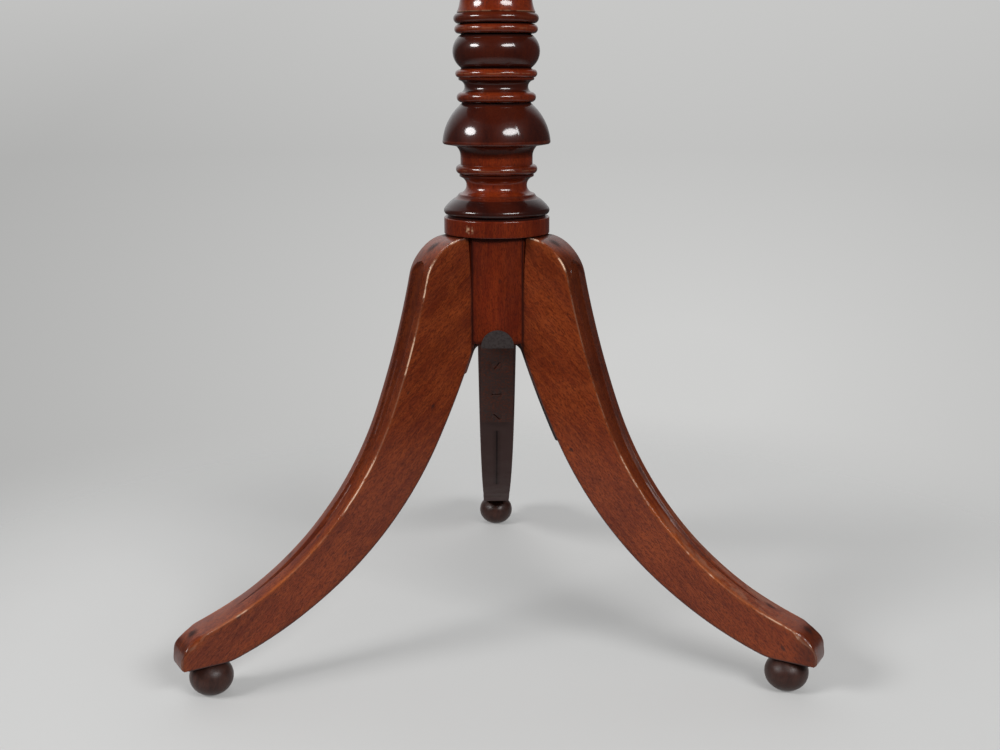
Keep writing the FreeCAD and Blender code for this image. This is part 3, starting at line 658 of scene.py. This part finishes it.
# A leg's side view, out from the pillar's axis. A heading is degrees from straight down, positive
# outwards. A move is a radius with degrees of turn, or None with a straight run in millimetres.
HEEL, HEEL_HEADING = (30.18, STEM_BOTTOM), 21.8
UNDERSIDE = [(None, 20.3), (685.0, 5.69), (298.2, 45.27), (40.0, 17.24)]
KNEE, KNEE_HEADING = (42.25, 343.0), 83.4
OUTSIDE = [(37.7, -70.9), (724.7, 8.9), (257.7, 50.9), (24.6, -81.27)]
TOE_RADIUS, TOE_CORNER = 285.4, 2.8
HALF_AT_AXIS, HALF_TAPER, TAPER_END = 17.5, 0.025, 176.0     # half thickness, and how it falls outwards
OUTER_ROUND, NOSE_ROUND, INNER_ROUND = 0.55, 3.6, 1.0        # arrises; the outer one softens at the nose
CHANNEL_START, CHANNEL_LENGTH, CHANNEL_ARCH, CHANNEL_FADE = 34.0, 318.0, 12.0, 0.75
CHANNEL_HALF, CHANNEL_DEPTH, CHANNEL_WALL = 10.5, 2.8, 3.0
CROWN = 1.6
NOSE = [(24.6, -77.5), (1.77, -84.8)]      # the nose again, rounded into the flat under the toe
LEAD = 6.0                                 # how far the leg starts inside the pillar
STATIONS = 260


def advance(point, heading, radius, amount):
    """The point and heading after a straight run or an arc."""
    h = math.radians(heading)
    if radius is None:
        return (point[0] + amount * math.sin(h), point[1] - amount * math.cos(h)), heading
    side = math.copysign(radius, amount)
    g = math.radians(heading + amount)
    x = point[0] + side * (math.cos(h) - math.cos(g))
    z = point[1] + side * (math.sin(h) - math.sin(g))
    return (x, z), heading + amount


def path_length(moves):
    """The length of a chain of moves in millimetres."""
    return sum(a if r is None else r * abs(math.radians(a)) for r, a in moves)


def along(point, heading, moves, distance):
    """The point and heading at a distance along a chain of moves."""
    for radius, amount in moves:
        length = amount if radius is None else radius * abs(math.radians(amount))
        if distance <= length:
            return advance(point, heading, radius, amount * distance / length)
        distance -= length
        point, heading = advance(point, heading, radius, amount)
    return point, heading


def half_thickness(r):
    """Half the leg's thickness at a radius: tapered, then parallel to rounded toe corners."""
    half = HALF_AT_AXIS - HALF_TAPER * min(r, TAPER_END)
    past = min(1.0, max(0.0, (r - TOE_RADIUS + TOE_CORNER) / TOE_CORNER))
    return half - TOE_CORNER * (1 - math.sqrt(1 - past * past))


def channel_half(s):
    """Half the sunk channel's width: an arched top, then a long taper."""
    if s <= 0 or s >= CHANNEL_LENGTH:
        return 0.0
    short = max(0.0, 1 - s / CHANNEL_ARCH)
    return CHANNEL_HALF * (1 - s / CHANNEL_LENGTH) ** CHANNEL_FADE * math.sqrt(1 - short * short)


# where a ring's points are, as fractions across the channel, the reed beside it, the side and the underside
CHANNEL_SPLIT = (0.0, 0.3, 0.55, 0.72, 0.82, 0.89, 0.95, 1.0)
REED_SPLIT = (0.05, 0.12, 0.22, 0.34, 0.46, 0.57, 0.67, 0.75, 0.82, 0.88, 0.93, 0.965, 0.985, 1.0)
SIDE_SPLIT = (0.012, 0.03) + tuple((k + 1) / 17 for k in range(15)) + (0.96, 0.985, 1.0)
UNDER_SPLIT = (1.0, 0.985, 0.95, 0.90, 0.82, 0.6, 0.3, 0.07, 0.035)
OUTER_MOVES = OUTSIDE[:3] + NOSE
UNDER_MOVES = UNDERSIDE + [(None, 27.2)]
NOSE_START = path_length(OUTSIDE[:3])
UNDER_MARKS = (0.0, 0.0, 0.0, 1.0, 0.0)        # wear, rub, grime, raw, stain: unpolished

# where the outer arris is worn through, and where it carries painted glints (196 to 246 mm on both front
# legs, and 29 to 38 mm on the right one): from, to (millimetres down the leg from the knee) and how much
WORN_AND_GLINTS = {
    "front_left": [(6, 62, 1.0), (96, 124, 0.85), (196, 246, 0.75), (352, 358, 0.6)],
    "front_right": [(-4, 10, 0.9), (29, 38, 1.0), (196, 244, 0.6), (288, 294, 0.7), (312, 318, 0.6),
                    (358, 392, 0.6)],
    "back": [(8, 50, 0.7), (150, 230, 0.6)],
}
# dark marks on the outer face; the ones on the knee tops (14 to 19 mm down) and on the toes (393 to 395 mm
# down) are painted dark reflections: distance down the leg, place across it, half length, half width, how
# dark
MARKS_AND_REFLECTIONS = {
    "front_left": [(19, 1, 7, 4.0, 0.85), (393, 1, 4.5, 4.0, 0.95), (296, -9, 2.5, 2.0, 0.8)],
    "front_right": [(14, -3, 6, 4.5, 0.9), (361, 3, 5, 2.2, 0.8), (395, 1, 4.8, 4.0, 0.95)],
    "back": [(17, 0, 6, 4, 0.6)],
}
PALE_REEDS_AND_SHEEN = {"front_left": 0.0, "front_right": 0.11, "back": 0.05}    # bared wood and painted sheen down the lower reeds
FACE_DARK = {"front_left": 0.30, "front_right": 0.50, "back": 0.4}     # stain on the upper outer face
TOE_SHADE = {"front_left": 0.0, "front_right": 0.55, "back": 0.3}      # stain towards the toe
TOE_END_STAIN = 0.5
CRACK_LOW, CRACK_HIGH = 78, 152                                        # in the back leg's underside


def arris_wear(s, place):
    """How much bared wood and painted glint the arris carries at a distance down the leg."""
    bared_and_glint = 0.0
    for low, high, amount in WORN_AND_GLINTS[place]:
        bared_and_glint += amount * smoothstep((s - low) / 3 + 1) * smoothstep((high - s) / 3 + 1)
    return 0.10 + bared_and_glint


def leg_lines(t):
    """The ring at a fraction of the leg: the distance down it from the knee, the outer point and its
    normal, the inner point and its normal."""
    s = t * (LEAD + path_length(OUTER_MOVES)) - LEAD
    if s < 0:
        outer, heading = advance(KNEE, KNEE_HEADING, None, s)
    else:
        outer, heading = along(KNEE, KNEE_HEADING, OUTER_MOVES, s)
    inner, inner_heading = along(HEEL, HEEL_HEADING, UNDER_MOVES, t * path_length(UNDER_MOVES))
    h, k = math.radians(heading), math.radians(inner_heading)
    out, under = Vector((math.cos(h), math.sin(h))), Vector((-math.cos(k), -math.sin(k)))
    return s, Vector(outer), out, Vector(inner), under


def outer_face(s, half, rounding, place):
    """Half the outer face, from its middle to the arris: (across, how far below the outer line, wear with
    painted highlights, rub, grime, raw, stain). The sunk channel is in the middle, with a crowned reed beside
    it."""
    nose = s - NOSE_START
    hollow = channel_half(s - CHANNEL_START)
    depth = CHANNEL_DEPTH * min(1.0, 0.25 + hollow / 4)
    wall = min(CHANNEL_WALL, max(hollow, 0.01))
    crown = CROWN * smoothstep(s / 30) * (1 - 0.6 * smoothstep((s - 330) / 50))
    crown *= 1 - smoothstep((nose - 4) / 14)
    level = 0.6 * hollow
    dark = FACE_DARK[place] * smoothstep((s - 22) / 14) * (1 - smoothstep((s - 150) / 120))
    toe_end = TOE_END_STAIN * smoothstep((nose - 8) / 8)
    lower = smoothstep((s - 120) / 110) * (1 - smoothstep((nose + 20) / 20))
    # painted sheen, together with bared wood, down the lower reeds
    pallor_and_sheen = PALE_REEDS_AND_SHEEN[place] * smoothstep((s - 225) / 60) * (1 - smoothstep((s - 350) / 40))
    bared_and_glint = arris_wear(s, place)

    def drop_at(y):
        over = max(0.0, y - (half - rounding))
        crowned = crown * max(0.0, (y - level) / (half - level)) ** 1.8
        return crowned + rounding - math.sqrt(max(0.0, rounding * rounding - over * over))

    points = []
    for part in CHANNEL_SPLIT:
        y, drop, grime = hollow * part, 0.0, 0.0
        if hollow > 0:
            drop = depth * smoothstep((hollow - y) / wall)
            edge = 0.45 * bell(y - hollow + wall * 0.4, 0.9) * smoothstep(hollow)
            seam = 0.65 * (1 - smoothstep((hollow - 1.5) / 4.0)) * bell(y, 1.6)
            grime = max(edge, seam, 0.15)
        points.append((y, drop, 0.0, 0.0, grime, 0.0, dark if hollow > 0 else 0.0))
    width = half - hollow
    for part in REED_SPLIT:
        y = hollow + width * part
        rub = (0.35 + 0.55 * lower) * bell(half - y, 2.0) * smoothstep(s / 30)
        # the arris's wear with painted glints, and the reeds' bared wood with painted sheen
        pale_and_highlight = max(bared_and_glint * bell(half - y, 0.45), pallor_and_sheen * bell(y - hollow - 0.5 * width, 0.35 * width + 0.1))
        points.append((y, drop_at(y), pale_and_highlight, rub, 0.0, 0.0, max(dark, toe_end)))
    return points, drop_at(half)


def side_face(top, bottom, bared_and_glint):
    """One side, from under the outer arris to above the inner one."""
    points = []
    for part in SIDE_SPLIT:
        p = top.lerp(bottom, part)
        near, far = (p - top).length, (p - bottom).length
        # the arris's wear and painted glints reach onto the side
        wear, rub = 0.9 * bared_and_glint * bell(near, 0.35), 0.4 * bell(near, 2.2)
        grime, raw = 0.25 * bell(far, 2.0), 0.4 * bell(far, 0.7)
        stain = TOE_END_STAIN * smoothstep((p.x - TOE_RADIUS + TOE_CORNER) / TOE_CORNER)
        points.append((p.x, half_thickness(p.x), p.y, wear, rub, grime, raw, stain))
    return points


def under_face(inner, under, rounding):
    """Half the unpolished underside, from its arris to near the middle."""
    half = half_thickness(inner.x)
    points = []
    for part in UNDER_SPLIT:
        over = max(0.0, half * part - (half - rounding))
        d = rounding - math.sqrt(max(0.0, rounding * rounding - over * over))
        points.append((inner.x - under.x * d, half * part, inner.y - under.y * d, *UNDER_MARKS))
    return points


def leg_ring(t, place):
    """One ring of the leg: points (r, y, z, wear with painted highlights, rub, grime, raw, stain), all the
    way round.
    """
    s, outer, out, inner, under = leg_lines(t)
    gap = (outer - inner).length
    nose = s - NOSE_START
    bend = smoothstep((nose + 3) / 9) * (1 - smoothstep((nose - 10) / 12))
    big, small = min(OUTER_ROUND + NOSE_ROUND * bend, 0.42 * gap), min(INNER_ROUND, 0.25 * gap)
    face, edge_drop = outer_face(s, half_thickness(outer.x), big, place)
    right = [(outer.x - out.x * d, y, outer.y - out.y * d, *marks) for y, d, *marks in face]
    right += side_face(outer - out * edge_drop, inner - under * small, arris_wear(s, place))
    right += under_face(inner, under, small)
    left = [(r, -y, *rest) for r, y, *rest in right[:0:-1]]
    return right + [(inner.x, 0.0, inner.y, *UNDER_MARKS)] + left


def make_leg(place, angle):
    """A leg is swept as a chain of rings, which start inside the pillar, then turned to its angle."""
    rings = [leg_ring(i / STATIONS, place) for i in range(STATIONS + 1)]
    count = len(rings[0])
    r, y, z, wear, rub, grime, raw, stain = np.array(rings).reshape(-1, 8).T
    down = np.repeat(np.linspace(-LEAD, path_length(OUTER_MOVES), STATIONS + 1), count)
    column = np.tile(np.arange(count), STATIONS + 1)
    channel, reed = len(CHANNEL_SPLIT), len(REED_SPLIT)
    from_middle = np.minimum(column, count - column)

    # dirt in the joint with the pillar, painted shade under the collar, the dark marks (some of them painted
    # dark reflections) and the back leg's crack
    joint = 0.95 * hump(np.hypot(r, y) - STEM_RADIUS, 0.9)
    # painted shade under the collar's overhang
    shade = 0.8 * hump(343.5 - z, 2.5) * (np.hypot(r, y) < 46)
    grime = np.maximum(grime, np.maximum(joint, shade))
    # painted dark reflections on the knee tops and toes, and real dark marks elsewhere
    for s0, y0, length, width, amount in MARKS_AND_REFLECTIONS[place]:
        mark = amount * spot((down - s0) / length, (y - y0) / width) * (from_middle < channel + reed + 4)
        grime = np.maximum(grime, mark)
    if place == "back":
        off = np.abs(column - (channel + reed + len(SIDE_SPLIT) + len(UNDER_SPLIT)))
        crack = np.clip(1.6 - 0.6 * off, 0, 1) * (z > CRACK_LOW) * (z < CRACK_HIGH)
        grime = np.maximum(grime, crack)
    low_end = np.clip((r - 262) / 18, 0, 1)
    stain = np.maximum(stain, TOE_SHADE[place] * low_end * low_end * (3 - 2 * low_end))
    matt = 0.85 * (from_middle < channel)

    a = math.radians(angle)
    x = r * math.cos(a) - y * math.sin(a)
    y = r * math.sin(a) + y * math.cos(a)
    verts = (np.stack([x, y, z], axis=1) * MM).tolist()
    faces = []
    for i in range(STATIONS):
        for k in range(count):
            m = (k + 1) % count
            faces.append((i * count + k, (i + 1) * count + k, (i + 1) * count + m, i * count + m))
    faces.append(tuple(range(count)))
    faces.append(tuple(reversed(range(STATIONS * count, (STATIONS + 1) * count))))
    piece = new_piece("carved_leg_" + place, verts, faces, MAHOGANY_LEGS)
    put_floats(piece, wear=wear, rub=rub, grime=grime, raw=raw, stain=stain, matt=matt)
    chord = (math.cos(a) * 0.72, math.sin(a) * 0.72, -0.69)
    put_grain(piece, chord, (0.7 * math.cos(2 * a), 0.05 * math.sin(a), 0.4 * math.cos(a)))
    settle(piece, "base", "mahogany_legs", "leg_" + place)


# ---------------------------------------------------------------- feet

FOOT_RADIUS, FOOT_SIDE, FOOT_SHOULDER = 17.1, 14.2, 7.5     # the ball, the arc down its side, its neck
SPIGOT_RADIUS = 6.0
TOE_UNDERSIDE = along(HEEL, HEEL_HEADING, UNDERSIDE, path_length(UNDERSIDE) - 0.001)[0][1]


def make_foot(place, angle):
    """The ball foot: a flat worn under it, a round side and a small shoulder against the toe."""
    low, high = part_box("foot_" + place)
    across = FOOT_RADIUS - FOOT_SIDE
    middle = TOE_UNDERSIDE - math.sqrt(FOOT_SIDE**2 - (FOOT_SHOULDER - across) ** 2)
    flat = across + math.sqrt(FOOT_SIDE**2 - middle**2)
    s = Section(flat - 0.8, 0.0)
    s.line(flat, 0.15, 1.0)
    s.arc((FOOT_RADIUS, middle), (FOOT_SHOULDER, TOE_UNDERSIDE))
    s.line(SPIGOT_RADIUS, TOE_UNDERSIDE)
    s.line(SPIGOT_RADIUS, TOE_UNDERSIDE + 5)
    centre = ((low[0] + high[0]) / 2, (low[1] + high[1]) / 2)
    piece = lathe("ball_" + place, s, DARK_FEET, centre, segments=96)
    put_grain(piece, (0.15, 0.1, 1.0), (angle * 0.01, 0.02, 0.05))
    settle(piece, "base", "dark_feet", "foot_" + place)


# ---------------------------------------------------------------- pieces refined from the CAD solids

FLAT_ANGLE, BEVEL_ANGLE, CREASE_ANGLE = math.radians(0.4), math.radians(32), math.radians(35)
RUST_BEHIND = -0.034            # the spider plate is rusty behind its tab (metres)
TOP_RADIUS = 305.0
TOP_SEGMENTS = 320
TOP_CENTRE = 6.0                # radius of the small faces that close the top's middle


def refined(node, name, material, bevel, grain, shift):
    """A copy of a CAD node with its outside arrises rounded. The roundings carry the wear."""
    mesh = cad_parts[node].data.copy()
    mesh.name = name
    mesh.materials.clear()
    rounded = []
    if bevel:
        b = bmesh.new()
        b.from_mesh(mesh)
        bmesh.ops.remove_doubles(b, verts=b.verts, dist=1e-6)
        bmesh.ops.dissolve_limit(b, angle_limit=FLAT_ANGLE, verts=b.verts, edges=b.edges)
        sharp = [e for e in b.edges if e.is_manifold and e.is_convex and e.calc_face_angle() > BEVEL_ANGLE]
        made = bmesh.ops.bevel(b, geom=sharp, offset=bevel * MM, segments=3, profile=0.5,
                               affect="EDGES", clamp_overlap=True)
        b.verts.index_update()
        rounded = list({v.index for f in made["faces"] if f.is_valid for v in f.verts})
        bmesh.ops.triangulate(b, faces=[f for f in b.faces if len(f.verts) > 4])
        b.to_mesh(mesh)
        b.free()
    mesh.shade_smooth()
    mesh.set_sharp_from_angle(angle=CREASE_ANGLE)
    mesh.materials.append(material)
    piece = bpy.data.objects.new(name, mesh)
    bpy.context.collection.objects.link(piece)
    wear = np.zeros(len(mesh.vertices))
    wear[rounded] = 1.0
    put_floats(piece, wear=wear)
    if grain is not None:
        put_grain(piece, grain, shift)
    return piece


def top_section():
    """The round board, moulded on its edge."""
    low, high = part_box("table_top")
    z0, z1 = low[2] / MM, high[2] / MM
    rim = TOP_RADIUS
    s = Section(TOP_CENTRE, z0)
    s.line(rim - 24, z0, 12.0)
    s.arc((rim - 11, z0 + 2.6), (rim - 3.5, z0 + 9))
    s.line(rim - 1.5, z0 + 9)
    s.arc((rim, z0 + 12.5), (rim - 1.5, z0 + 16))
    s.line(rim - 3.5, z0 + 16)
    s.arc((rim - 5.2, z1 - 1.6), (rim - 9.5, z1))
    s.line(TOP_CENTRE, z1, 12.0)
    return s


def make_top():
    """The round top. Its underside is half unpolished, its edge is a little worn and the quirk of
    its moulding holds dirt."""
    section = top_section()
    reach = max(r for r, z in section.points)
    underside = section.points[0][1]
    raw = [0.6 if z < underside + 1 else 0.0 for r, z in section.points]
    wear = [0.35 * bell(r - reach, 0.7) + 0.15 * bell(r - reach + 9.5, 1.0) for r, z in section.points]
    grime = [0.6 * bell(r - reach + 4, 0.8) for r, z in section.points]
    piece = lathe("round_top", section, MAHOGANY_TOP, segments=TOP_SEGMENTS, wear=wear, grime=grime)
    put_floats(piece, raw=np.repeat(raw, TOP_SEGMENTS))
    put_grain(piece, (1, 0, 0), (0.2, 0.4, 0.1))
    settle(piece, "top", "mahogany_top", "table_top")


def make_hardware():
    """Everything else keeps its CAD shape, mostly with rounded arrises. A row has the CAD node, the
    piece, its material, how far arrises are rounded (millimetres), its grain, its body and its slot."""
    rows = [
        ("spider_plate", "iron_spider", IRON, 0.5, None, "base", "iron"),
        ("spider_screws", "iron_screws", IRON, 0.15, None, "base", "iron"),
        ("pillar_block", "tilt_block", MAHOGANY_PLAIN, 0, (1, 0, 0), "base", "mahogany_plain"),
        ("tenon_wedge", "oak_wedge", OAK, 0.2, (0, 0, 1), "base", "oak"),
        ("strike_plate", "brass_strike", BRASS, 0.25, None, "base", "brass"),
        ("strike_screws", "brass_strike_screws", BRASS, 0.12, None, "base", "brass"),
        ("batten_left", "bearer_left", MAHOGANY_PLAIN, 1.2, (0, 1, 0), "top", "mahogany_plain"),
        ("batten_right", "bearer_right", MAHOGANY_PLAIN, 1.2, (0, 1, 0), "top", "mahogany_plain"),
        ("batten_screws", "bearer_screws", STEEL, 0.15, None, "top", "steel"),
        ("catch_case", "brass_case", BRASS, 0.4, None, "top", "brass"),
        ("catch_spring", "steel_spring", STEEL, 0, None, "top", "steel"),
        ("catch_screws", "brass_case_screws", BRASS, 0.12, None, "top", "brass"),
        ("catch_bolt", "brass_bolt", BRASS, 0.3, None, "bolt", "brass"),
        ("catch_knob", "brass_knob", BRASS, 0.25, None, "bolt", "brass"),
    ]
    for i, (node, name, material, bevel, grain, body, slot) in enumerate(rows):
        piece = refined(node, name, material, bevel, grain, (0.13 * i, 0.07 * i, 0.05 * i))
        if node.startswith("spider"):
            put_floats(piece, rust=[float(v.co.y > RUST_BEHIND) for v in piece.data.vertices])
        settle(piece, body, slot, node)


def make_floor():
    """A disc just under the feet. Its material fades out before its edge."""
    b = bmesh.new()
    bmesh.ops.create_circle(b, cap_ends=True, segments=96, radius=0.85)
    mesh = bpy.data.meshes.new("floor")
    b.to_mesh(mesh)
    b.free()
    mesh.materials.append(floor_material())
    floor = bpy.data.objects.new("floor", mesh)
    floor.location.z = -0.0002
    bpy.context.collection.objects.link(floor)


make_floor()
make_pillar()
for where, degrees in LEG_ANGLES.items():
    make_leg(where, degrees)
    make_foot(where, degrees)
make_top()
make_hardware()

bpy.context.scene.view_settings.view_transform = "Standard"
